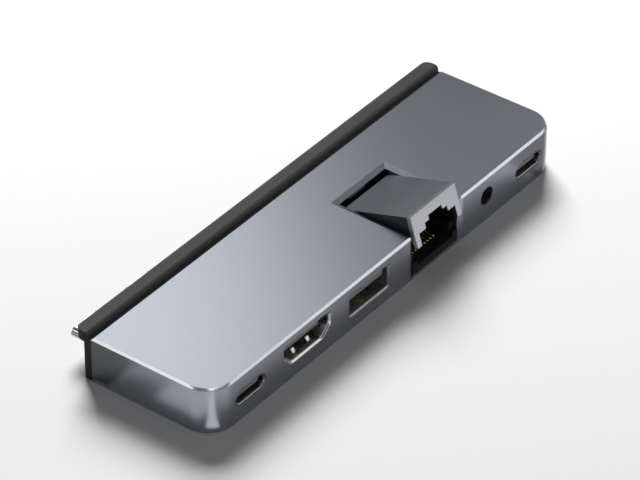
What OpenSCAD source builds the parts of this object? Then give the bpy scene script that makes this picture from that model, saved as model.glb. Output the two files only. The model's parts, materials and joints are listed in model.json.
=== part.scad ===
// Laptop docking station: a slim seven-port dock that plugs straight into two
// USB-C sockets in a laptop's side. Millimetres. +X runs along the body from the
// near end, which holds the laptop plugs, to the far end, which holds the card
// slot. -Y is the port side and +Y the laptop side. The origin is the centre of
// the aluminium body's footprint, on the surface that the dock rests on.

/* [Body] */
// Length of the aluminium body
body_l = 114; // [112:0.5:120]
// Depth of the aluminium body, from the port face to the laptop side
body_d = 29.8; // [29.5:0.1:31]
// Height of the aluminium body
body_h = 10.6; // [10.6:0.1:11.4]
// Thickness of the body's walls
wall = 1.2; // [1:0.1:1.4]
// Radius of the two upright corners on the port side
corner_r = 6; // [4:0.5:7]
// Width of the bright chamfer round the top face
edge_chamfer = 0.45; // [0.2:0.05:0.6]
// Thickness of the bottom cover
cover_t = 1.0; // [0.8:0.1:1.2]

/* [Laptop side] */
// Distance from the near end to the first plug's centre
plug_inset = 8; // [7.5:0.5:9]
// Distance between the two plugs' centres
plug_pitch = 16; // [15.5:0.1:16.5]
// How far the plugs stand out of the grip's face
plug_reach = 6.65; // [6.2:0.05:6.9]
// Thickness of the grip's upright plate
grip_t = 1.8; // [1.4:0.1:2.2]
// How far the grip's lip reaches over the laptop
lip_reach = 2.7; // [2:0.1:3.5]
// How far the lip stands above the body's top face
lip_rise = 0.8; // [0.4:0.1:1.2]
// How far the laptop's top face lies below the body's top face
lip_drop = 1.6; // [1.2:0.1:2]

/* [Ports] */
// Near end to the centre of the first USB-C socket
usb_c_host_x = 11.4; // [11:0.2:12]
// Near end to the centre of the HDMI socket
hdmi_x = 29.2; // [28.8:0.2:29.6]
// Near end to the centre of the USB-A socket
usb_a_x = 49.2; // [48.8:0.2:49.6]
// Near end to the centre of the Ethernet jack
jaw_x = 71.5; // [71.2:0.1:71.9]
// Near end to the centre of the audio jack
audio_x = 88.8; // [88.4:0.2:89.4]
// Near end to the centre of the second USB-C socket
usb_c_data_x = 103.4; // [103:0.2:103.8]
// Port face to the centre of the card slot
card_y = 19; // [18.6:0.2:19.4]

/* [Ethernet jaw] */
// Width of the hinged jaw
flap_w = 15; // [14.8:0.1:15.2]
// Angle at which the jaw stands open
jaw_open = 17.5; // [0:0.5:18]

/* [Hidden] */
$fn = 48;
eps = 0.01;
ceiling_z = body_h - wall;
mid_z = body_h / 2;
back_y = body_d;               // distances in Y are from the port face
bezel_t = 1.6;
grip_y = back_y + 0.05;        // inner face of the grip
grip_face_y = back_y + grip_t; // face that bears on the laptop
plug_tip_y = grip_face_y + plug_reach;
plug_x = [plug_inset, plug_inset + plug_pitch];

board_z = 2.5;
board_t = 0.8;
board_top = board_z + board_t;
port_recess = 0.3;             // sockets sit this far behind the port face

// USB-C sizes, from the connector's own standard
c_socket = [8.94, 3.26];
c_plug = [8.25, 2.4];
c_pitch = 0.5;
c_gap = 0.5;                   // the hole in the port face is larger than the socket by this
c_depth = 7.6;
c_skin = 0.3;
c_tongue_t = 0.7;
plug_skin = 0.25;
plug_tail = 8;                 // how far a laptop plug reaches back into the body
plug_l = plug_tip_y - back_y + plug_tail;
tongue_slot = [6.9, 0.95, 6.2];
// HDMI type A opening
hdmi_w = 14;
hdmi_h = 4.55;
hdmi_z = 6.15;
hdmi_skin = 0.3;
hdmi_depth = 11;
hdmi_gap = 0.2;
// USB-A opening
a_w = 12.5;
a_h = 5.12;
a_skin = 0.3;
a_depth = 13.6;
a_gap = 0.2;
usb_a_z = 5.85;
tab_rise = 0.8;                // height of the springs that press on a plug
// Audio jack
audio_r = 1.8;
audio_gap = 0.25;               // of the body's hole round the jack's bore
audio_z = 5.9;
audio_len = 11;                // length of the jack's bore, which starts behind the wall
// microSD
card_z = board_top + 0.9;
card_w = 11.4;
card_slot_h = 1.3;
socket_l = 14.6;

// The jaw, at rest in its closed frame and then turned about the hinge
hinge_y = 12.8;
hinge_z = 8.7;
flap_t = 0.9;
flap_back = 17.2;              // port face to the flap's rear edge
plate_t = 1.0;
plate_drop = 7.1;              // height of the jaw's front plate
cheek_t = 0.9;
notch_steps = [[6.0, 4.4], [3.7, 3.2], [2.2, 2.2]]; // half width, and the metal left above it
pin_r = 0.5;
pin_clear = 0.04;
barrel_r = 0.95;
opening_w = flap_w + 0.4;
opening_back = 18.6;
opening_floor = 0.6;
funnel = 1.2;                  // width of the sloped rim beside the jaw
funnel_back = 1.1;             // width of the sloped rim behind it
funnel_depth = 0.5;
jack_w = 16.8;                 // outside width of the Ethernet housing
jack_back = 13;
jack_rim = 4.8;                // top of the tub's side walls
jack_back_z = 7;               // top of its back wall, under the hinge
ear_t = 1.1;
plug_room = 12.1;              // width of the cavity that takes the plug
jack_floor = 2.2;

// Components that share a place on the board
hub_at = [49, 20.5];
video_at = [26, 16];

cover_bosses = [[5, 14.5], [39.5, 24.5], [83, 6.5], [94, 24.5]];
board_bosses = [[39.5, 5.5], [60, 24.5], [107, 10.1]];
boss_d = 4;
screw_hole = 1.6;
magnet_x = [46, 70, 95];
magnet = [10, 0.8, 4];
magnet_gap = 0.05;

// ---------- placing and shapes that repeat ----------

// From the near end and the port face to the part's own frame
module place(x, y, z = 0) translate([x - body_l / 2, y - body_d / 2, z]) children();

// Extrudes a shape drawn in X and Z inwards, along +Y
module inward(depth) translate([0, depth, 0]) rotate([90, 0, 0]) linear_extrude(depth) children();

// A profile drawn in Y and Z, extruded along X and centred there
module across(width) translate([-width / 2, 0, 0]) rotate([90, 0, 90]) linear_extrude(width) children();

// A box centred in X, from the given Y and Z
module block(w, y, d, z, h) translate([-w / 2, y, z]) cube([w, d, h]);

module stadium(w, h) {
  square([w - h, h], center = true);
  for (s = [-1, 1]) translate([s * (w - h) / 2, 0]) circle(h / 2);
}

module rounded_rect(w, h, r) {
  square([w, h - 2 * r], center = true);
  square([w - 2 * r, h], center = true);
  for (sx = [-1, 1], sz = [-1, 1]) translate([sx * (w / 2 - r), sz * (h / 2 - r)]) circle(r);
}

// The body's plan: round corners on the port side, square ones on the laptop side
module plan(inset = 0, back = 0) {
  half = body_l / 2 - inset;
  front = -body_d / 2 + inset;
  r = corner_r - inset;
  translate([-half, front + r]) square([2 * half, body_d / 2 + back - front - r]);
  translate([-half + r, front]) square([2 * (half - r), r]);
  for (s = [-1, 1]) translate([s * (half - r), front + r]) circle(r);
}

// Opening of an HDMI socket: full width at the top, drawn in at the lower corners
module hdmi_outline(grow = 0) {
  w = hdmi_w / 2 + grow;
  h = hdmi_h / 2 + grow;
  polygon([[-w, h], [w, h], [w, -h + 2.2], [w - 1.0, -h + 1.3],
    [w - 2.3, -h], [-w + 2.3, -h], [-w + 1.0, -h + 1.3], [-w, -h + 2.2]]);
}

// A row of thin blades along X
module blades(count, pitch, size) {
  for (i = [0 : count - 1])
    translate([(i - (count - 1) / 2) * pitch - size[0] / 2, 0, 0]) cube(size);
}

// ---------- housing ----------

// Cuts the chamfer along the top edges, round the two round corners and along the back
module top_edge_cutter() {
  c = edge_chamfer;
  half = body_l / 2;
  front = -body_d / 2;
  translate([0, 0, body_h]) {
    for (s = [-1, 1]) {
      translate([0, s * body_d / 2, 0]) mirror([0, s < 0 ? 1 : 0, 0])
        across(s < 0 ? body_l - 2 * corner_r : body_l + 2) edge_triangle(c);
      translate([s * half, body_d / 2 + 1, 0]) mirror([s < 0 ? 1 : 0, 0, 0])
        rotate([90, 0, 0]) linear_extrude(body_d + 1 - corner_r) edge_triangle(c);
      translate([s * (half - corner_r), front + corner_r, 0]) rotate([0, 0, s < 0 ? 180 : 270])
        rotate_extrude(angle = 90) translate([corner_r, 0]) edge_triangle(c);
    }
  }
}

module edge_triangle(c) polygon([[-c, eps], [eps, eps], [eps, -c]]);

// The opening for the jaw, in the top and in the port face, with its sloped rim
module jaw_opening() {
  outer = opening_w + 2 * funnel;
  place(jaw_x, 0) {
    block(opening_w, -1, opening_back + 1, ceiling_z - 1, wall + 2);
    block(opening_w, -1, wall + 1.1, opening_floor, body_h);
    hull() {
      block(opening_w, -1, opening_back + 1, body_h - funnel_depth, eps);
      block(outer, -1, opening_back + 1 + funnel_back, body_h, eps);
    }
    hull() {
      block(opening_w, funnel_depth, eps, opening_floor, body_h);
      block(outer, -eps, eps, opening_floor, body_h);
    }
  }
}

module port_holes() {
  for (x = [usb_c_host_x, usb_c_data_x])
    place(x, -1, mid_z) inward(wall + 2) stadium(c_socket[0] + c_gap, c_socket[1] + c_gap);
  place(hdmi_x, -1, hdmi_z) inward(wall + 2) hdmi_outline(hdmi_skin + hdmi_gap);
  place(usb_a_x, -1, usb_a_z) inward(wall + 2)
    rounded_rect(a_w + 2 * (a_skin + a_gap), a_h + 2 * (a_skin + a_gap), 0.6);
  place(audio_x, -1, audio_z) inward(wall + 2) circle(audio_r + audio_gap);
  place(body_l + 1, card_y, card_z) rotate([0, 0, 90]) inward(wall + 2)
    stadium(card_w + 0.6, card_slot_h);
}

module boss(at, d, foot_z, bore_d) place(at[0], at[1]) difference() {
  translate([0, 0, foot_z]) cylinder(d = d, h = ceiling_z - foot_z + 0.3);
  translate([0, 0, foot_z - eps]) cylinder(d = bore_d, h = 5);
}

module top_shell() color([0.55, 0.57, 0.60]) {
  difference() {
    linear_extrude(body_h) plan();
    translate([0, 0, -1]) linear_extrude(ceiling_z + 1) plan(wall, 1);
    top_edge_cutter();
    port_holes();
    jaw_opening();
  }
  for (at = cover_bosses) boss(at, boss_d, cover_t + 0.02, screw_hole);
  for (at = board_bosses) boss(at, boss_d - 0.6, board_top + 0.02, screw_hole - 0.3);
}

module bottom_cover() color([0.50, 0.52, 0.55]) difference() {
  linear_extrude(cover_t) plan(wall + 0.08, -bezel_t - 0.08);
  for (at = cover_bosses) place(at[0], at[1]) {
    translate([0, 0, -eps]) cylinder(d1 = 3.5, d2 = 1.9, h = 0.8);
    translate([0, 0, -1]) cylinder(d = 1.9, h = 3);
  }
}

// Recess for a cross-head driver, cut up into a screw's head
module cross_recess(w, depth)
  for (a = [0, 90]) rotate([0, 0, a]) translate([-w / 2, -0.15, -eps]) cube([w, 0.3, depth]);

// Countersunk screw, its head down
module screw(head_d, shank_d, length) {
  difference() {
    cylinder(d1 = head_d, d2 = shank_d, h = 0.75);
    cross_recess(head_d / 2, 0.45);
  }
  translate([0, 0, 0.7]) cylinder(d = shank_d, h = length - 0.7);
}

module cover_screws() color([0.42, 0.43, 0.45])
  for (at = cover_bosses) place(at[0], at[1], 0.05) screw(3.3, screw_hole - 0.04, 5);

module board_screws() color([0.72, 0.72, 0.72])
  for (at = board_bosses) place(at[0], at[1], board_z - 0.75) {
    difference() {
      cylinder(d = 2.6, h = 0.73);
      cross_recess(1.4, 0.4);
    }
    translate([0, 0, 0.7]) cylinder(d = 1.2, h = 4.5);
  }

// ---------- laptop side ----------

module rear_bezel() color([0.08, 0.08, 0.09]) difference() {
  union() {
    place(body_l / 2, 0) block(body_l - 2 * wall - 0.2, back_y - bezel_t, bezel_t, 0, ceiling_z - 0.05);
    for (x = plug_x) place(x, back_y - 0.1, mid_z) inward(grip_t) stadium(11, 5.2);
  }
  for (x = plug_x) place(x, back_y - bezel_t - 1, mid_z) inward(bezel_t + grip_t + 2)
    stadium(c_plug[0] + 0.1, c_plug[1] + 0.1);
  magnet_pockets(back_y - magnet[1] - magnet_gap, 2);
}

// One box per magnet, larger than it all round by the given gap
module at_magnets(y, d, gap)
  for (x = magnet_x) place(x, 0)
    block(magnet[0] + 2 * gap, y, d, mid_z - magnet[2] / 2 - gap, magnet[2] + 2 * gap);

module magnet_pockets(y, d) at_magnets(y, d, magnet_gap);

module bezel_magnets() color([0.62, 0.62, 0.64]) at_magnets(back_y - magnet[1], magnet[1] - eps, 0);

// Upright plate and rounded lip, in Y from the port face and Z
module grip_profile() {
  lip_r = 0.95;
  lip_top = body_h + lip_rise;
  lip_foot = body_h - lip_drop;
  lip_front = grip_face_y - 1.15;
  lip_back = grip_face_y + lip_reach;
  translate([grip_y, 0.15]) square([grip_face_y - grip_y, body_h - 0.75]);
  translate([lip_front, lip_foot]) square([lip_back - lip_front, lip_top - lip_r - lip_foot]);
  translate([lip_front + lip_r, lip_foot]) square([lip_back - lip_front - 2 * lip_r, lip_top - lip_foot]);
  for (y = [lip_front + lip_r, lip_back - lip_r]) translate([y, lip_top - lip_r]) circle(lip_r);
}

module grip_pad() color([0.19, 0.19, 0.19]) difference() {
  round_r = 2.4;
  lip_back = grip_face_y + lip_reach;
  intersection() {
    translate([0, -body_d / 2, 0]) across(body_l) grip_profile();
    translate([0, -body_d / 2, -1]) linear_extrude(body_h + 4) {
      translate([-body_l / 2, grip_y - 1]) square([body_l, lip_back - round_r - grip_y + 1]);
      translate([-body_l / 2 + round_r, grip_y - 1]) square([body_l - 2 * round_r, lip_back - grip_y + 1]);
      for (s = [-1, 1]) translate([s * (body_l / 2 - round_r), lip_back - round_r]) circle(round_r);
    }
  }
  for (x = plug_x) place(x, back_y - 1, mid_z) inward(grip_t + 3) stadium(11.5, 5.7);
  magnet_pockets(back_y - 1, magnet[1] + 1.15);
}

module grip_magnets() color([0.62, 0.62, 0.64]) at_magnets(grip_y + 0.02, magnet[1], 0);

module plug_shell(x) color([0.75, 0.75, 0.76]) place(x, back_y - plug_tail, mid_z) difference() {
  inward(plug_l) stadium(c_plug[0], c_plug[1]);
  translate([0, -1, 0]) inward(plug_l + 2) stadium(c_plug[0] - 2 * plug_skin, c_plug[1] - 2 * plug_skin);
}

// Moulded core with the slot that takes the laptop's tongue
module plug_insulator(x) color([0.07, 0.07, 0.08]) place(x, back_y - plug_tail, mid_z) difference() {
  snug = 2 * plug_skin + 0.06;
  inward(plug_l - 0.1) stadium(c_plug[0] - snug, c_plug[1] - snug);
  translate([0, plug_l - tongue_slot[2], 0]) inward(plug_tail)
    rounded_rect(tongue_slot[0], tongue_slot[1], 0.2);
}

// Two rows in each plug, on the slot's upper and lower faces
module plug_contacts() color([0.83, 0.66, 0.30]) {
  t = 0.12;
  for (x = plug_x) place(x, plug_tip_y - 5.6, mid_z)
    for (z = [tongue_slot[1] / 2 - t, -tongue_slot[1] / 2])
      translate([0, 0, z]) blades(12, c_pitch, [0.26, 4.6, t]);
}

module plug_blocks() color([0.10, 0.10, 0.11])
  for (x = plug_x) place(x, 0) difference() {
    block(11, back_y - plug_tail - 1, 7.3, board_top + 0.02, 3.9);
    translate([0, back_y - plug_tail - 2, mid_z]) inward(9) stadium(c_plug[0] + 0.06, c_plug[1] + 0.06);
  }

// ---------- electronics ----------

module main_board() color([0.05, 0.16, 0.13]) difference() {
  translate([0, 0, board_z]) linear_extrude(board_t) plan(wall + 0.8, -bezel_t - 0.3);
  place(usb_a_x, 0) block(a_w + 1.4, 0, 14.8, 0, 6);
  place(jaw_x, 0) block(jack_w + 2 * ear_t + 0.4, 0, 15.4, 0, 6);
  for (at = cover_bosses) place(at[0], at[1]) cylinder(d = 4.6, h = 6);
  for (at = board_bosses) place(at[0], at[1]) cylinder(d = 1.7, h = 6);
}

module insulating_sheet() color([0.12, 0.12, 0.12]) difference() {
  translate([0, 0, cover_t + 0.02]) linear_extrude(0.15) plan(wall + 0.9, -bezel_t - 0.4);
  place(jaw_x, 0) block(jack_w + 2 * ear_t + 0.6, 0, 15.6, 0, 6);
  for (at = concat(cover_bosses, board_bosses)) place(at[0], at[1]) cylinder(d = 4.6, h = 6);
}

// A chip lying on the board, with its pin-one dimple
module chip(x, y, w, d, h = 0.9) place(x, y, board_top + 0.01) difference() {
  translate([-w / 2, -d / 2, 0]) cube([w, d, h]);
  translate([-w / 2 + 0.9, d / 2 - 0.9, h - 0.1]) cylinder(r = 0.35, h = 1);
}

module usb_hub_chip() color([0.09, 0.09, 0.10]) chip(hub_at[0], hub_at[1], 8, 8);
module video_chip() color([0.09, 0.09, 0.10]) chip(video_at[0], video_at[1], 6.5, 6.5);
module power_chip() color([0.09, 0.09, 0.10]) chip(14, 14.5, 5, 5);
module ethernet_chip() color([0.09, 0.09, 0.10]) chip(87.5, 18.5, 6, 6);
module card_reader_chip() color([0.09, 0.09, 0.10]) chip(94, 14.5, 4, 4, 0.8);
module ethernet_transformer() color([0.06, 0.06, 0.07]) chip(jaw_x, 23.2, 15, 6.6, 3.6);

module shield_can() color([0.70, 0.70, 0.71]) place(hub_at[0], hub_at[1], board_top + 0.01) difference() {
  side = 11.2;
  skin = 0.2;
  block(side, -side / 2, side, 0, 1.9);
  block(side - 2 * skin, skin - side / 2, side - 2 * skin, -1, 2.9 - skin);
}

module thermal_pad() color([0.55, 0.58, 0.66])
  place(video_at[0], video_at[1]) block(6, -3, 6, board_top + 0.93, 0.8);

module heat_spreader() color([0.66, 0.50, 0.38])
  place(video_at[0] + 1.5, video_at[1]) block(15, -3.4, 6.8, board_top + 1.75, 0.4);

module on_board(spots, size)
  for (s = spots) place(s[0], s[1], board_top + 0.01) translate([-size[0] / 2, -size[1] / 2, 0]) cube(size);

module crystals() color([0.78, 0.78, 0.78])
  on_board([[59.2, 20.6], [84, 13.7], [19, 13.5]], [3.2, 2.5, 0.8]);

module inductors() color([0.22, 0.22, 0.23])
  on_board([[33.5, 24], [56.5, 16.5], [10, 18.8]], [3, 3, 1.8]);

module capacitors() color([0.55, 0.42, 0.28]) {
  on_board([for (i = [0 : 4]) [84 + i * 1.5, 23.2]], [0.6, 1.1, 0.5]);
  on_board([for (i = [0 : 5]) [20.5 + i * 1.6, 20]], [0.6, 1.1, 0.5]);
  on_board([for (i = [0 : 4]) [98 + i * 1.6, 10]], [0.6, 1.1, 0.5]);
}

// ---------- sockets on the port side ----------

module usb_c_shell(x) color([0.70, 0.70, 0.71]) place(x, port_recess, mid_z) difference() {
  inward(c_depth) stadium(c_socket[0], c_socket[1]);
  translate([0, -1, 0]) inward(c_depth + 2) stadium(c_socket[0] - 2 * c_skin, c_socket[1] - 2 * c_skin);
}

// Tongue with the thicker root and the plug that closes the shell behind it
module usb_c_tongue(x) color([0.07, 0.07, 0.08]) place(x, port_recess, mid_z) {
  snug = 2 * c_skin + 0.06;
  translate([0, c_depth - 1.4, 0]) inward(1.4) stadium(c_socket[0] - snug, c_socket[1] - snug);
  translate([0, c_depth - 2.2, 0]) inward(0.9) rounded_rect(7.2, 1.3, 0.3);
  block(6.69, 0.6, c_depth - 2, -c_tongue_t / 2, c_tongue_t);
}

module usb_c_contacts(x) color([0.83, 0.66, 0.30]) place(x, port_recess + 1.2, mid_z)
  for (z = [c_tongue_t / 2, -c_tongue_t / 2 - 0.05])
    translate([0, 0, z]) blades(12, c_pitch, [0.25, 3.9, 0.05]);

module usb_c_host_shell() usb_c_shell(usb_c_host_x);
module usb_c_host_tongue() usb_c_tongue(usb_c_host_x);
module usb_c_host_contacts() usb_c_contacts(usb_c_host_x);
module usb_c_data_shell() usb_c_shell(usb_c_data_x);
module usb_c_data_tongue() usb_c_tongue(usb_c_data_x);
module usb_c_data_contacts() usb_c_contacts(usb_c_data_x);

module hdmi_shell() color([0.78, 0.78, 0.79]) place(hdmi_x, port_recess, hdmi_z) difference() {
  inward(hdmi_depth) hdmi_outline(hdmi_skin);
  translate([0, -1, 0]) inward(hdmi_depth + 0.7) hdmi_outline();
}

module hdmi_tongue() color([0.07, 0.07, 0.08]) place(hdmi_x, port_recess, hdmi_z) {
  translate([0, hdmi_depth - 2.4, 0]) inward(2.05) hdmi_outline(-0.03);
  block(11.2, 1.4, hdmi_depth - 3.7, -0.35, 1.2);
}

module hdmi_contacts() color([0.83, 0.66, 0.30]) place(hdmi_x, port_recess + 2, hdmi_z) {
  translate([0, 0, 0.85]) blades(10, 1, [0.45, 5, 0.08]);
  translate([0, 0, -0.43]) blades(9, 1, [0.45, 5, 0.08]);
}

// Bent tabs that press on the plug, two on the upper wall and two on the lower
module hdmi_springs() color([0.80, 0.80, 0.81]) place(hdmi_x, port_recess, hdmi_z)
  for (sx = [-1, 1]) {
    translate([sx * 3.6, 0, hdmi_h / 2]) mirror([0, 0, 1]) spring_tab(1.6);
    translate([sx * 2.3, 0, -hdmi_h / 2]) spring_tab(1);
  }

// Sheet tab bent up from its wall, with a steep front and its crest on the plug
module spring_tab(w) across(w)
  polygon([
    [1.1, 0], [1 + tab_rise, tab_rise - 0.1], [2.2, tab_rise], [2.6, tab_rise - 0.1], [4.4, 0],
    [4, 0], [2.55, tab_rise - 0.28], [2.2, tab_rise - 0.2], [1.9, tab_rise - 0.3], [1.4, 0]
  ]);

module usb_a_shell() color([0.74, 0.74, 0.75]) place(usb_a_x, port_recess, usb_a_z) difference() {
  inward(a_depth) rounded_rect(a_w + 2 * a_skin, a_h + 2 * a_skin, 0.5);
  translate([0, -1, 0]) inward(a_depth + 0.6) rounded_rect(a_w, a_h, 0.25);
}

module usb_a_tongue() color([0.06, 0.07, 0.10]) place(usb_a_x, port_recess, usb_a_z) {
  block(a_w - 0.6, a_depth - 3.2, 2.75, -a_h / 2 + 0.05, a_h - 0.1);
  block(11.1, 0.7, a_depth - 3.8, 0.32, 1.84);
}

module usb_a_contacts() color([0.83, 0.66, 0.30]) place(usb_a_x, port_recess, usb_a_z) {
  translate([0, 2.6, 0.22]) blades(4, 2.5, [1.0, 6.5, 0.1]);
  translate([0, 1.3, 0.22]) blades(5, 2.0, [0.5, 0.8, 0.1]);
}

module usb_a_springs() color([0.80, 0.80, 0.81]) place(usb_a_x, port_recess, usb_a_z)
  for (sx = [-1, 1]) translate([sx * 3, 3, -a_h / 2]) spring_tab(2.2);

module audio_jack() color([0.06, 0.06, 0.07]) place(audio_x, wall + 0.1, audio_z) difference() {
  block(6.4, 0, audio_len + 0.6, board_top + 0.01 - audio_z, 5.1);
  translate([0, -1, 0]) inward(audio_len + 1) circle(audio_r);
}

module audio_terminals() color([0.80, 0.78, 0.70]) place(audio_x, 0)
  for (s = [-1, 1], y = [4, 7.5, 11])
    translate([s * 3.5 - 0.25, y, board_top + 0.02]) cube([0.5 - 0.02, 1.1, 1.6]);

// ---------- card slot, in the far end ----------

// Turns a shape drawn inward along +Y so that it runs in from the far end along -X
module from_far_end(depth) place(body_l - depth, card_y) rotate([0, 0, 90]) children();

module card_socket_cover() color([0.72, 0.72, 0.73]) from_far_end(wall + 0.1) difference() {
  block(14, 0, socket_l, board_top + 0.01, 1.9);
  block(13.7, -1, socket_l + 2, board_top - 1, 2.75);
  block(3, 6, 5, board_top + 1, 3);
}

module card_socket_base() color([0.07, 0.07, 0.08]) from_far_end(wall + 0.1) difference() {
  block(13.6, 0.1, socket_l - 0.2, board_top + 0.02, 1.7);
  block(card_w, -1, socket_l - 1.2, board_top + 0.35, card_slot_h - 0.1);
  block(9.4, -1, socket_l - 3.4, board_top + 0.35, 3);
}

module card_contacts() color([0.83, 0.66, 0.30]) from_far_end(wall + 0.1)
  translate([0, 6.5, board_top + 0.36]) blades(8, 1.1, [0.45, 4.5, 0.3]);

// ---------- Ethernet jack with its hinged jaw ----------

module ethernet_housing() color([0.05, 0.05, 0.06]) place(jaw_x, 0) {
  ear_x = jack_w / 2;
  base_z = cover_t + 0.05;
  front_y = wall + 0.08;
  difference() {
    union() {
      block(jack_w, front_y, jack_back - front_y, base_z, jack_rim - base_z);
      block(jack_w, jack_back - 1.8, 1.8, base_z, jack_back_z - base_z);
      block(opening_w - 0.2, 0.3, wall, base_z, jack_rim - 1.5 - base_z);
      block(opening_w - 0.2, 0.3, wall - 0.3, opening_floor + 0.04, 1);
      for (s = [-1, 1]) translate([s * (ear_x - 0.35), 0, 0])
        block(0.7, front_y, 8.4, base_z, ceiling_z - 0.12 - base_z);
    }
    block(plug_room, -1, jack_back - 0.4, jack_floor, body_h);
  }
  for (s = [-1, 1]) difference() {
    translate([s * (ear_x + ear_t / 2 - 0.15), 0, 0])
      block(ear_t, hinge_y - 2, 4, base_z, ceiling_z - 0.08 - base_z);
    hinge_rod(pin_r, jack_w + 4);
  }
}

// Eight sprung wires that slope up from the floor of the jack
module ethernet_contacts() color([0.83, 0.66, 0.30]) place(jaw_x, 0)
  for (i = [0 : 7]) translate([(i - 3.5) * 1.02, 0, 0]) across(0.42)
    polygon([
      [3, jack_floor], [4.2, jack_floor], [10.6, 3.9], [11.4, 3.5],
      [11.4, 3.85], [10.6, 4.3], [3.9, 2.75], [3, 2.75]
    ]);

module hinge_pin() color([0.78, 0.78, 0.79]) place(jaw_x, 0) hinge_rod(pin_r, jack_w + 2 * ear_t - 0.3);

// Leaf that stops the jaw's heel when the jaw is fully open
module hinge_leaf_spring() color([0.80, 0.80, 0.81]) place(jaw_x, 0) across(5)
  polygon([[15.9, board_top + 0.02], [19.2, board_top + 0.02], [19.2, 7.3], [18.5, 8.0], [17.0, 8.2],
    [15.9, 7.8], [15.9, 7.6], [17.0, 8.0], [18.4, 7.8], [18.95, 7.25], [18.95, board_top + 0.27],
    [15.9, board_top + 0.27]]);

// Draws the jaw's pieces closed and turns them open about the hinge
module opened()
  place(jaw_x, hinge_y, hinge_z) rotate([-jaw_open, 0, 0]) translate([0, -hinge_y, -hinge_z]) children();

// A rod along the hinge's axis
module hinge_rod(r, length)
  translate([0, hinge_y, hinge_z]) rotate([0, 90, 0]) cylinder(r = r, h = length, center = true);

// Hood of the jaw: top plate and two cheeks that taper towards the hinge
module jaw_cover() color([0.55, 0.57, 0.60]) opened() {
  block(flap_w, plate_t, flap_back - plate_t, body_h - flap_t, flap_t);
  for (s = [-1, 1]) difference() {
    translate([s * (flap_w - cheek_t) / 2, 0, 0]) across(cheek_t)
      polygon([
        [plate_t, body_h - flap_t + eps], [plate_t, body_h - 5.6], [hinge_y - 1.2, hinge_z - 1.5],
        [hinge_y + 1.2, hinge_z - 1.2], [hinge_y + 1.9, body_h - flap_t + eps]
      ]);
    hinge_rod(pin_r + pin_clear, flap_w + 1);
  }
}

// Front of the jaw, with the stepped notch that lets the plug and its latch through
module jaw_front_plate() color([0.72, 0.73, 0.75]) opened() inward(plate_t) difference() {
  translate([-flap_w / 2, body_h - plate_drop]) square([flap_w, plate_drop]);
  for (step = notch_steps)
    translate([-step[0], body_h - plate_drop - 1]) square([2 * step[0], plate_drop + 1 - step[1]]);
}

// Lining inside the hood, with the barrel that turns on the pin
module jaw_liner() color([0.06, 0.06, 0.07]) opened() {
  inner = flap_w - 2 * cheek_t;
  under = body_h - flap_t - 0.02;
  difference() {
    union() {
      for (s = [-1, 1]) translate([s * (inner / 2 - 0.27), 0, 0]) across(0.5)
        polygon([
          [plate_t + 0.02, under], [plate_t + 0.02, body_h - 5.2], [hinge_y, hinge_z - 0.9], [hinge_y, under]
        ]);
      hinge_rod(barrel_r, inner - 0.04);
      block(inner - 0.04, hinge_y - 0.6, 1.2, hinge_z, under - hinge_z);
    }
    hinge_rod(pin_r + pin_clear, flap_w);
  }
}

top_shell();
bottom_cover();
cover_screws();
rear_bezel();
bezel_magnets();
grip_pad();
grip_magnets();
plug_shell(plug_x[0]);  // plug_1_shell
plug_shell(plug_x[1]);  // plug_2_shell
plug_insulator(plug_x[0]);  // plug_1_insulator
plug_insulator(plug_x[1]);  // plug_2_insulator
plug_contacts();
plug_blocks();
main_board();
board_screws();
insulating_sheet();
usb_hub_chip();
video_chip();
power_chip();
ethernet_chip();
card_reader_chip();
ethernet_transformer();
shield_can();
heat_spreader();
thermal_pad();
crystals();
inductors();
capacitors();
usb_c_host_shell();
usb_c_host_tongue();
usb_c_host_contacts();
usb_c_data_shell();
usb_c_data_tongue();
usb_c_data_contacts();
hdmi_shell();
hdmi_tongue();
hdmi_contacts();
hdmi_springs();
usb_a_shell();
usb_a_tongue();
usb_a_contacts();
usb_a_springs();
audio_jack();
audio_terminals();
card_socket_cover();
card_socket_base();
card_contacts();
ethernet_housing();
ethernet_contacts();
hinge_pin();
hinge_leaf_spring();
jaw_cover();
jaw_front_plate();
jaw_liner();
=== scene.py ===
"""The laptop docking station: materials, socket lips, wires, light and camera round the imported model."""

import json
import math

import bpy
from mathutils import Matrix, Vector


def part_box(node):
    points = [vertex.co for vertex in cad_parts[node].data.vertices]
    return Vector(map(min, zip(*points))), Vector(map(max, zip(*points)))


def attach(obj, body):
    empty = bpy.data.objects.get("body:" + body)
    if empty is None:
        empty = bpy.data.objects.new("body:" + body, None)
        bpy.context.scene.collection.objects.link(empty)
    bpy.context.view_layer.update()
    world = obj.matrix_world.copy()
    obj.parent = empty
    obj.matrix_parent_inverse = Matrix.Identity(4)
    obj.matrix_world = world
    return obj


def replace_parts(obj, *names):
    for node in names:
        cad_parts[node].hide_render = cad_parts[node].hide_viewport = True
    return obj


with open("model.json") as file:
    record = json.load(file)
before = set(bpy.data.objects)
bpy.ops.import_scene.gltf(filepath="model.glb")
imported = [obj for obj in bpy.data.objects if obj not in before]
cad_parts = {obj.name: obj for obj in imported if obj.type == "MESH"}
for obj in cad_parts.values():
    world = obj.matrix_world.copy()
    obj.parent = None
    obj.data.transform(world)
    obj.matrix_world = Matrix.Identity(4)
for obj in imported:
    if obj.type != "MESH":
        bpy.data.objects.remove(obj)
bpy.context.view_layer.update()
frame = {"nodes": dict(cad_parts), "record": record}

MM = 0.001
NODES = frame["nodes"]


# ---------- small helpers for node trees ----------

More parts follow.
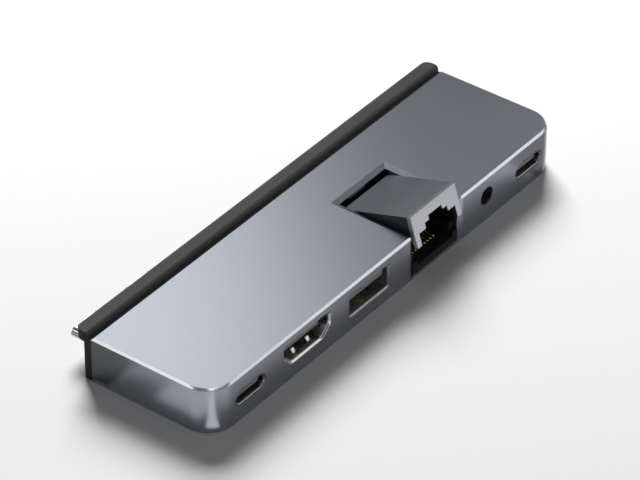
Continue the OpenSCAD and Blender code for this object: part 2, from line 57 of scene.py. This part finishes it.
class Tree:
    """One material's nodes, with short calls for the nodes used over and over."""

    def __init__(self, name):
        self.material = bpy.data.materials.new(name)
        self.material.use_nodes = True
        self.nodes = self.material.node_tree.nodes
        self.links = self.material.node_tree.links
        self.shader = self.nodes["Principled BSDF"]
        coords = self.nodes.new("ShaderNodeTexCoord")
        self.place = coords.outputs["Object"]

    def link(self, source, socket):
        self.links.new(source, socket)

    def put(self, **values):
        """Sets sockets of the shader that are the same all over the surface."""
        for key, value in values.items():
            self.shader.inputs[key.replace("_", " ")].default_value = value

    def stretched(self, x, y, z):
        """Object coordinates scaled by axis, for grain that runs one way."""
        mapping = self.nodes.new("ShaderNodeMapping")
        mapping.inputs["Scale"].default_value = (x, y, z)
        self.link(self.place, mapping.inputs["Vector"])
        return mapping.outputs["Vector"]

    def noise(self, scale, detail=4, rough=0.55, vector=None):
        node = self.nodes.new("ShaderNodeTexNoise")
        node.inputs["Scale"].default_value = scale
        node.inputs["Detail"].default_value = detail
        node.inputs["Roughness"].default_value = rough
        self.link(vector or self.place, node.inputs["Vector"])
        return node.outputs["Fac"]

    def cells(self, scale):
        node = self.nodes.new("ShaderNodeTexVoronoi")
        node.inputs["Scale"].default_value = scale
        self.link(self.place, node.inputs["Vector"])
        return node.outputs["Distance"]

    def remap(self, source, low, high, to_low, to_high):
        node = self.nodes.new("ShaderNodeMapRange")
        node.interpolation_type = "SMOOTHSTEP"
        limits = {"From Min": low, "From Max": high, "To Min": to_low, "To Max": to_high}
        for socket, value in limits.items():
            node.inputs[socket].default_value = value
        self.link(source, node.inputs["Value"])
        return node.outputs["Result"]

    def combine(self, kind, a, b):
        """One sum, such as MULTIPLY, of two values. Each is a number or an output."""
        node = self.nodes.new("ShaderNodeMath")
        node.operation = kind
        for socket, value in zip(node.inputs, (a, b)):
            if isinstance(value, (int, float)):
                socket.default_value = value
            else:
                self.link(value, socket)
        return node.outputs["Value"]

    def mix(self, factor, a, b):
        """Blends two colours, each a tuple or an output."""
        node = self.nodes.new("ShaderNodeMix")
        node.data_type = "RGBA"
        self.link(factor, node.inputs["Factor"])
        for socket, value in ((node.inputs[6], a), (node.inputs[7], b)):
            if isinstance(value, tuple):
                socket.default_value = (*value, 1)
            else:
                self.link(value, socket)
        return node.outputs[2]

    def bump(self, height, depth, strength):
        node = self.nodes.new("ShaderNodeBump")
        node.inputs["Distance"].default_value = depth
        node.inputs["Strength"].default_value = strength
        self.link(height, node.inputs["Height"])
        return node.outputs["Normal"]

    def edges(self, radius):
        """1 along the edges of the shape and 0 on its flats."""
        bevel = self.nodes.new("ShaderNodeBevel")
        bevel.samples = 4
        bevel.inputs["Radius"].default_value = radius
        flat = self.nodes.new("ShaderNodeNewGeometry").outputs["Normal"]
        dot = self.nodes.new("ShaderNodeVectorMath")
        dot.operation = "DOT_PRODUCT"
        self.link(bevel.outputs["Normal"], dot.inputs[0])
        self.link(flat, dot.inputs[1])
        return self.remap(dot.outputs["Value"], 0.80, 0.995, 1, 0)

    def facing(self, axis, low, high):
        """1 where the surface normal's part along this axis has a size between low and high."""
        split = self.nodes.new("ShaderNodeSeparateXYZ")
        self.link(self.nodes.new("ShaderNodeNewGeometry").outputs["Normal"], split.inputs["Vector"])
        part = self.combine("ABSOLUTE", split.outputs[axis], 0)
        above = self.remap(part, low - 0.06, low, 0, 1)
        below = self.remap(part, high, high + 0.06, 1, 0)
        return self.combine("MULTIPLY", above, below)

    def colour(self, source):
        self.link(source, self.shader.inputs["Base Color"])

    def roughness(self, source):
        self.link(source, self.shader.inputs["Roughness"])

    def normal(self, source):
        self.link(source, self.shader.inputs["Normal"])


def tinted(colour, factor):
    return tuple(min(1.0, c * factor) for c in colour)


# ---------- materials ----------

def anodised(name, base, cut, rough=0.32, sides=1.0):
    """Bead-blasted anodised aluminium, brighter and smoother where its edges are cut. Faces at a chamfer's
    slant get the same bright colour, partly bare cut metal and partly a painted highlight.

    sides darkens the faces that look along X with painted shade.
    """
    t = Tree(name)
    t.put(Metallic=1.0)
    grain = t.noise(9000, 3, 0.7)
    body = t.mix(t.remap(grain, 0.3, 0.7, 0, 1), tinted(base, 0.96), tinted(base, 1.04))
    # sides paints shade on the faces that look along X, such as the jaw's cheeks
    body = t.mix(t.facing("X", 0.90, 1.1), body, tinted(base, sides))
    # Faces at a chamfer's slant get the bright cut colour and less roughness: partly bare cut metal, partly
    # a painted highlight
    chamfer_cut_and_highlight = t.facing("Z", 0.60, 0.82)
    wear_and_highlight = t.combine("MAXIMUM", chamfer_cut_and_highlight, t.combine("MULTIPLY", t.edges(0.12 * MM), 0.5))
    t.colour(t.mix(wear_and_highlight, body, cut))
    matt = t.remap(t.noise(5000, 3), 0.3, 0.7, rough - 0.02, rough + 0.02)
    t.roughness(t.combine("SUBTRACT", matt, t.combine("MULTIPLY", chamfer_cut_and_highlight, 0.08)))
    t.normal(t.bump(t.cells(7000), 0.008 * MM, 0.2))
    return t.material


def rubber(name, base):
    """Soft-touch rubber with a fine moulded grain and paler, rubbed edges. Its ends, the faces that look
    along X, are darkened and dulled with painted shade.
    """
    t = Tree(name)
    t.put(Sheen_Weight=0.1, Sheen_Roughness=0.5, Specular_IOR_Level=0.65)
    grain = t.noise(3500, 4, 0.65)
    cloud = t.noise(120, 3)
    body = t.mix(t.remap(cloud, 0.35, 0.65, 0, 1), tinted(base, 0.88), tinted(base, 1.12))
    body = t.mix(t.remap(grain, 0.45, 0.75, 0, 0.4), body, tinted(base, 1.5))
    body = t.mix(t.edges(0.25 * MM), body, tinted(base, 1.8))
    # Faces that look along X get painted shade: much darker colour and higher roughness
    painted_end_shade = t.facing("X", 0.85, 1.1)
    t.colour(t.mix(painted_end_shade, body, tinted(base, 0.3)))
    moulded = t.remap(grain, 0.3, 0.7, 0.46, 0.60)
    t.roughness(t.combine("MAXIMUM", moulded, t.combine("MULTIPLY", painted_end_shade, 0.9)))
    t.normal(t.bump(grain, 0.02 * MM, 0.5))
    return t.material


def plastic(name, base, rough=0.42, grain_depth=0.012):
    """Moulded plastic with spark-eroded grain."""
    t = Tree(name)
    t.put(Specular_IOR_Level=0.3)
    grain = t.noise(5000, 4, 0.6)
    cloud = t.noise(200, 2)
    body = t.mix(t.remap(cloud, 0.3, 0.7, 0, 1), tinted(base, 0.9), tinted(base, 1.1))
    t.colour(t.mix(t.edges(0.12 * MM), body, tinted(base, 1.9)))
    t.roughness(t.remap(grain, 0.3, 0.7, rough - 0.06, rough + 0.08))
    t.normal(t.bump(grain, grain_depth * MM, 0.4))
    return t.material


def plated(name, base, rough=0.24, along=(1, 1, 1), depth=0.004):
    """Rolled and plated sheet metal: faint drawn lines, duller patches and bright edges."""
    t = Tree(name)
    t.put(Metallic=1.0)
    lines = t.noise(1200, 4, 0.6, t.stretched(*along))
    patches = t.noise(500, 3)
    body = t.mix(t.remap(lines, 0.3, 0.7, 0, 1), tinted(base, 0.90), tinted(base, 1.06))
    t.colour(t.mix(t.edges(0.08 * MM), body, tinted(base, 1.2)))
    t.roughness(t.remap(patches, 0.3, 0.7, rough - 0.05, rough + 0.08))
    t.normal(t.bump(lines, depth * MM, 0.4))
    return t.material


def laminate(name, mask, copper):
    """Circuit board: solder mask over routed tracks, with the glass weave just showing."""
    t = Tree(name)
    t.put(Coat_Weight=0.4, Coat_Roughness=0.15)
    brick = t.nodes.new("ShaderNodeTexBrick")
    brick.inputs["Scale"].default_value = 700
    brick.inputs["Mortar Size"].default_value = 0.12
    t.link(t.place, brick.inputs["Vector"])
    tracks = t.combine("MULTIPLY", brick.outputs["Fac"], t.remap(t.noise(350, 2), 0.48, 0.52, 0, 1))
    weave = t.noise(2500, 2)
    body = t.mix(t.remap(weave, 0.3, 0.7, 0, 1), tinted(mask, 0.85), tinted(mask, 1.15))
    t.colour(t.mix(t.combine("MULTIPLY", tracks, 0.6), body, copper))
    t.roughness(t.remap(weave, 0.3, 0.7, 0.3, 0.45))
    t.normal(t.bump(tracks, 0.02 * MM, 0.5))
    return t.material


def fired(name, base, rough):
    """Ceramic, ferrite or epoxy: a fine speckle and a dull face."""
    t = Tree(name)
    speck = t.cells(6000)
    t.colour(t.mix(t.remap(speck, 0.1, 0.6, 0, 1), tinted(base, 0.8), tinted(base, 1.25)))
    t.roughness(t.remap(t.noise(900, 3), 0.3, 0.7, rough - 0.06, rough + 0.06))
    t.normal(t.bump(speck, 0.015 * MM, 0.4))
    return t.material


SLATE = (0.40, 0.42, 0.465)
MATERIALS = {
    "anodised_aluminium": anodised("anodised_aluminium", SLATE, (0.80, 0.82, 0.86)),
    # A shaded copy of anodised_aluminium: its slightly darker tint and duller cut colour are painted shade,
    # and sides=0.2 paints shade on its faces that look along X
    "dark_aluminium": anodised("dark_aluminium", tinted(SLATE, 0.98), (0.50, 0.51, 0.54), sides=0.2),
    "machined_aluminium": anodised("machined_aluminium", (0.52, 0.53, 0.56), (0.80, 0.81, 0.83), 0.33),
    "dark_screws": plated("dark_screws", (0.16, 0.16, 0.17), 0.34),
    "black_plastic": plastic("black_plastic", (0.020, 0.020, 0.022)),
    "pale_plastic": plastic("pale_plastic", (0.30, 0.30, 0.31), 0.38),
    "dull_nickel": plated("dull_nickel", (0.38, 0.38, 0.39), 0.30, (1, 0.08, 1)),
    "grip_rubber": rubber("grip_rubber", (0.028, 0.028, 0.028)),
    "magnet_nickel": plated("magnet_nickel", (0.62, 0.62, 0.60), 0.18),
    "nickel_steel": plated("nickel_steel", (0.70, 0.70, 0.69), 0.24, (1, 0.08, 1)),
    "spring_steel": plated("spring_steel", (0.80, 0.80, 0.80), 0.20, (1, 0.1, 1)),
    "gold_contacts": plated("gold_contacts", (0.86, 0.62, 0.26), 0.20, (1, 0.1, 1), 0.002),
    "tinned_metal": plated("tinned_metal", (0.72, 0.72, 0.70), 0.35),
    "circuit_board": laminate("circuit_board", (0.02, 0.09, 0.06), (0.10, 0.22, 0.12)),
    "insulating_film": plastic("insulating_film", (0.03, 0.03, 0.03), 0.3, 0.004),
    "chip_epoxy": fired("chip_epoxy", (0.03, 0.03, 0.032), 0.45),
    "copper": plated("copper", (0.82, 0.42, 0.26), 0.26, (0.1, 1, 1)),
    "silicone_pad": fired("silicone_pad", (0.40, 0.44, 0.55), 0.7),
    "ferrite": fired("ferrite", (0.09, 0.09, 0.10), 0.6),
    "ceramic": fired("ceramic", (0.45, 0.31, 0.17), 0.4),
}


# ---------- finish of the CAD nodes ----------

# How far the sharp edges of a node are broken, in millimetres, where it isn't the usual amount
EDGE_BREAK = {
    "top_shell": 0.09, "bottom_cover": 0.12, "grip_pad": 0.22, "rear_bezel": 0.12,
    "jaw_cover": 0.12, "jaw_front_plate": 0.14, "jaw_liner": 0.08, "ethernet_housing": 0.10,
    "plug_1_shell": 0.10, "plug_2_shell": 0.10, "plug_1_insulator": 0.06, "plug_2_insulator": 0.06,
    "usb_a_tongue": 0.12, "hdmi_tongue": 0.10, "usb_c_host_tongue": 0.09, "usb_c_data_tongue": 0.09,
    "audio_jack": 0.12, "usb_a_shell": 0.08, "hdmi_shell": 0.08, "plug_blocks": 0.15,
}
USUAL_BREAK = 0.04
# Edges flatter than this are left whole
SHARP_EDGE = math.radians(20)


def shade_smooth(piece):
    """Smooth shading in which the broad faces stay flat."""
    piece.data.polygons.foreach_set("use_smooth", [True] * len(piece.data.polygons))
    shade = piece.modifiers.new("shade", "WEIGHTED_NORMAL")
    shade.keep_sharp = False
    shade.weight = 80


def finish_node(node, material):
    """Gives a CAD node its material and broken edges. The mesh itself stays as packed."""
    node.data.materials.clear()
    node.data.materials.append(MATERIALS[material])
    weld = node.modifiers.new("weld", "WELD")
    weld.merge_threshold = 0.0005 * MM
    flatten = node.modifiers.new("flatten", "DECIMATE")
    flatten.decimate_type = "DISSOLVE"
    flatten.angle_limit = math.radians(0.8)
    bevel = node.modifiers.new("edge_break", "BEVEL")
    bevel.width = EDGE_BREAK.get(node.name, USUAL_BREAK) * MM
    bevel.segments = 3
    bevel.limit_method = "ANGLE"
    bevel.angle_limit = SHARP_EDGE
    bevel.harden_normals = False
    bevel.use_clamp_overlap = True
    shade_smooth(node)


for part in frame["record"]["subparts"]:
    finish_node(NODES[part["node"]], part["material_slot"])


# ---------- pieces modelled here, in millimetres ----------

ROD_SIDES = 14
CURVE_STEPS = 6
# Thickness of the sockets' metal shells, and how far their lips stand out in front
SHELL_SKIN = 0.3
LIP_STANDS_OUT = 0.28


def rod(path, across, radius):
    """Vertices and faces of a round rod along a flat path. across is the normal of the path's plane."""
    across = Vector(across)
    sides = ROD_SIDES
    last = len(path) - 1
    verts, faces = [], []
    for i, point in enumerate(path):
        along = (path[min(i + 1, last)] - path[max(i - 1, 0)]).normalized()
        side = across.cross(along)
        for k in range(sides):
            turn = math.tau * k / sides
            verts.append(point + radius * (math.cos(turn) * side + math.sin(turn) * across))
    for i in range(last):
        for k in range(sides):
            m = (k + 1) % sides
            faces.append((i * sides + k, i * sides + sides + k, i * sides + sides + m, i * sides + m))
    faces += [tuple(range(sides)), tuple(reversed(range(last * sides, (last + 1) * sides)))]
    return verts, faces


def ring(outline, section):
    """Vertices and faces of a closed ring.

    section lists (growth, y), and outline(growth) gives the ring's (x, z) points there.
    """
    verts, faces = [], []
    for growth, y in section:
        loop = outline(growth)
        verts += [Vector((x, y, z)) for x, z in loop]
    count, rows = len(loop), len(section)
    for row in range(rows):
        a, b = row * count, (row + 1) % rows * count
        for k in range(count):
            m = (k + 1) % count
            faces.append((a + k, a + m, b + m, b + k))
    return verts, faces


def rounded(corners, reach, closed=True):
    """The path through these corners, each turned into a curve that starts and ends at reach from it."""
    path = []
    count = len(corners)
    for i, corner in enumerate(corners):
        corner = Vector(corner)
        if not closed and i in (0, count - 1):
            path.append(corner)
            continue
        before, after = Vector(corners[i - 1]), Vector(corners[(i + 1) % count])
        start = corner + (before - corner).normalized() * min(reach, (before - corner).length * 0.45)
        end = corner + (after - corner).normalized() * min(reach, (after - corner).length * 0.45)
        for k in range(CURVE_STEPS + 1):
            t = k / CURVE_STEPS
            path.append((1 - t) ** 2 * start + 2 * t * (1 - t) * corner + t ** 2 * end)
    return path


def piece(name, parts, slot):
    """One object on the root body, from several (vertices, faces) lists, in the material of that slot."""
    verts, faces = [], []
    for part_verts, part_faces in parts:
        faces += [tuple(i + len(verts) for i in face) for face in part_faces]
        verts += [v * MM for v in part_verts]
    mesh = bpy.data.meshes.new(name)
    mesh.from_pydata(verts, [], faces)
    mesh.materials.append(MATERIALS[slot])
    made = bpy.data.objects.new(name, mesh)
    bpy.context.scene.collection.objects.link(made)
    shade_smooth(made)
    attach(made, "root")
    return made


def box_mm(node):
    lo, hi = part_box(node)
    return lo / MM, hi / MM


def socket_lip(name, node, corners, reach, flare, slot):
    """Flared front lip of a socket's shell. corners(half width, half height) gives the shell's outline."""
    lo, hi = box_mm(node)
    middle = (lo + hi) / 2
    half_w = (hi.x - lo.x) / 2 - SHELL_SKIN
    half_h = (hi.z - lo.z) / 2 - SHELL_SKIN

    def outline(growth):
        loop = [(x, 0, z) for x, z in corners(half_w + growth, half_h + growth)]
        return [(middle.x + p.x, middle.z + p.z) for p in rounded(loop, reach + growth)]

    front = lo.y - LIP_STANDS_OUT
    root = front + flare
    section = [
        (0.0, root + 0.05), (0.03, root - 0.08),
        (flare - 0.04, front + 0.04), (flare, front), (flare + 0.07, front + 0.02),
        (flare + 0.09, front + 0.10), (flare + 0.02, front + 0.24), (0.06, root + 0.1),
    ]
    return piece(name, [ring(outline, section)], slot)


def hdmi_corners(w, h):
    """An oblong whose lower corners are cut by two slopes each."""
    side, bend_in, bend_up, foot_in = 2.2, 1.0, 1.3, 2.3
    right = [(w, h), (w, side - h), (w - bend_in, bend_up - h), (w - foot_in, -h)]
    left = [(foot_in - w, -h), (bend_in - w, bend_up - h), (-w, side - h)]
    return [(-w, h)] + right + left


def flat_corners(w, h):
    return [(-w, h), (w, h), (w, -h), (-w, -h)]


socket_lip("hdmi_lip", "hdmi_shell", hdmi_corners, 0.5, 0.5, "spring_steel")
socket_lip("usb_a_lip", "usb_a_shell", flat_corners, 0.3, 0.36, "dull_nickel")
socket_lip("usb_c_host_lip", "usb_c_host_shell", flat_corners, 1.3, 0.25, "dull_nickel")
socket_lip("usb_c_data_lip", "usb_c_data_shell", flat_corners, 1.3, 0.25, "dull_nickel")


def ethernet_wires():
    """Eight sprung wires, each bent down at its tip."""
    lo, hi = box_mm("ethernet_contacts")
    middle = (lo.x + hi.x) / 2
    pitch = 1.02
    radius = 0.2
    bend = 0.45
    floor_z = lo.z + 0.23
    foot = [(lo.y + 0.1, floor_z), (lo.y + 1.1, floor_z)]
    tip = [(hi.y - 0.9, hi.z - 0.25), (hi.y - 0.2, hi.z - 0.85)]
    wires = []
    for i in range(8):
        x = middle + (i - 3.5) * pitch
        path = rounded([(x, y, z) for y, z in foot + tip], bend, closed=False)
        wires.append(rod(path, (1, 0, 0), radius))
    return piece("ethernet_wires", wires, "gold_contacts")


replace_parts(ethernet_wires(), "ethernet_contacts")


# ---------- camera ----------

# Where the picture was taken from, worked out from the laptop beside the dock
eye = Vector((-523.6, -395.5, 497.5)) * MM
aim = Vector((1.0, 4.0, 4.5)) * MM
camera = bpy.data.objects.new("camera", bpy.data.cameras.new("camera"))
bpy.context.scene.collection.objects.link(camera)
camera.location = eye
camera.rotation_euler = (aim - eye).to_track_quat("-Z", "Y").to_euler()
camera.data.lens = 232
camera.data.sensor_width = 36
camera.data.clip_start = 0.01
bpy.context.scene.camera = camera


# ---------- floor and light ----------

def floor():
    t = Tree("pale_floor")
    t.put(Specular_IOR_Level=0.2)
    speck = t.noise(2500, 2)
    t.colour(t.mix(t.remap(speck, 0.3, 0.7, 0, 1), (0.815, 0.815, 0.82), (0.83, 0.83, 0.83)))
    t.roughness(t.remap(speck, 0.3, 0.7, 0.62, 0.70))
    mesh = bpy.data.meshes.new("floor")
    half = 3.0
    corners = [(-half, -half, 0), (half, -half, 0), (half, half, 0), (-half, half, 0)]
    mesh.from_pydata(corners, [], [(0, 1, 2, 3)])
    mesh.materials.append(t.material)
    made = bpy.data.objects.new("floor", mesh)
    bpy.context.scene.collection.objects.link(made)


def softbox(name, place, size, radiance, target=(0, 0, 0), shines=True, fills=True):
    """A lamp of that radiance. One that only shines shows in glossy surfaces and lights nothing else."""
    data = bpy.data.lights.new(name, "AREA")
    data.shape = "RECTANGLE"
    data.size, data.size_y = size
    data.energy = radiance * math.pi * size[0] * size[1]
    lamp = bpy.data.objects.new(name, data)
    bpy.context.scene.collection.objects.link(lamp)
    lamp.location = place
    lamp.rotation_euler = (Vector(target) - Vector(place)).to_track_quat("-Z", "Y").to_euler()
    lamp.visible_camera = False
    lamp.visible_glossy = shines
    lamp.visible_diffuse = fills


def dark_reflection_card(name, low, high, tone):
    """A dark card flat on the floor that only shows in glossy faces, where it paints a dark reflection. Its
    corners are (x, y).
    """
    mesh = bpy.data.meshes.new(name)
    height = 0.3 * MM
    corners = [(low[0], low[1]), (high[0], low[1]), (high[0], high[1]), (low[0], high[1])]
    mesh.from_pydata([(x * MM, y * MM, height) for x, y in corners], [], [(0, 1, 2, 3)])
    mesh.materials.append(fired(name, (tone, tone, tone), 0.8))
    card = bpy.data.objects.new(name, mesh)
    bpy.context.scene.collection.objects.link(card)
    card.visible_camera = False
    card.visible_diffuse = False
    card.visible_shadow = False


floor()
# Fitted to the photo's tones: they darken what the near end face and the far end of the port face mirror
# Both cards paint dark reflections; end_card's dark tone is painted shade, mirrored in the near end face
dark_reflection_card("end_card", (-76, 11.5), (-57.6, 46), 0.12)
dark_reflection_card("far_card", (50, -44), (80, -15.2), 0.22)
# Each lamp's place, size, radiance and target, with lengths in metres. corner_card is aimed at the near
# corner, and corner_glow and end_glow lie on the floor beside it, facing up
softbox("key", (0.66, 0.63, 0.68), (0.54, 0.54), 25.0, shines=False)
softbox("sheen", (0.132, 0.201, 0.236), (0.16, 0.15), 2.0, (0.031, 0.001, -0.027), fills=False)
softbox("far_sheen", (0.42, 0.08, 0.30), (0.24, 0.24), 0.58, (0.05, 0, 0), fills=False)
softbox("front_strip", (0.36, -0.31, 0.24), (0.50, 0.16), 0.85, (0.05, -0.015, 0.01), fills=False)
softbox("end_strip", (-0.44, 0.26, 0.34), (0.26, 0.20), 1.05, (-0.057, 0, 0.01), fills=False)
softbox("corner_card", (-0.20, -0.22, 0.33), (0.10, 0.08), 0.85, (-0.055, -0.013, 0.01), fills=False)
softbox("corner_glow", (-0.0597, -0.0191, 0.0004), (0.004, 0.013), 0.85, (-0.0657, -0.0271, 1), fills=False)
softbox("end_glow", (-0.0635, -0.0090, 0.0004), (0.006, 0.022), 0.5, (-0.0635, -0.0100, 1), fills=False)
softbox("overhead", (-0.10, -0.35, 1.0), (0.8, 0.8), 0.8, fills=False)

world = bpy.data.worlds.new("studio")
world.use_nodes = True
world.node_tree.nodes["Background"].inputs["Color"].default_value = (1, 1, 1, 1)
world.node_tree.nodes["Background"].inputs["Strength"].default_value = 0.14
bpy.context.scene.world = world
bpy.context.scene.view_settings.view_transform = "Standard"
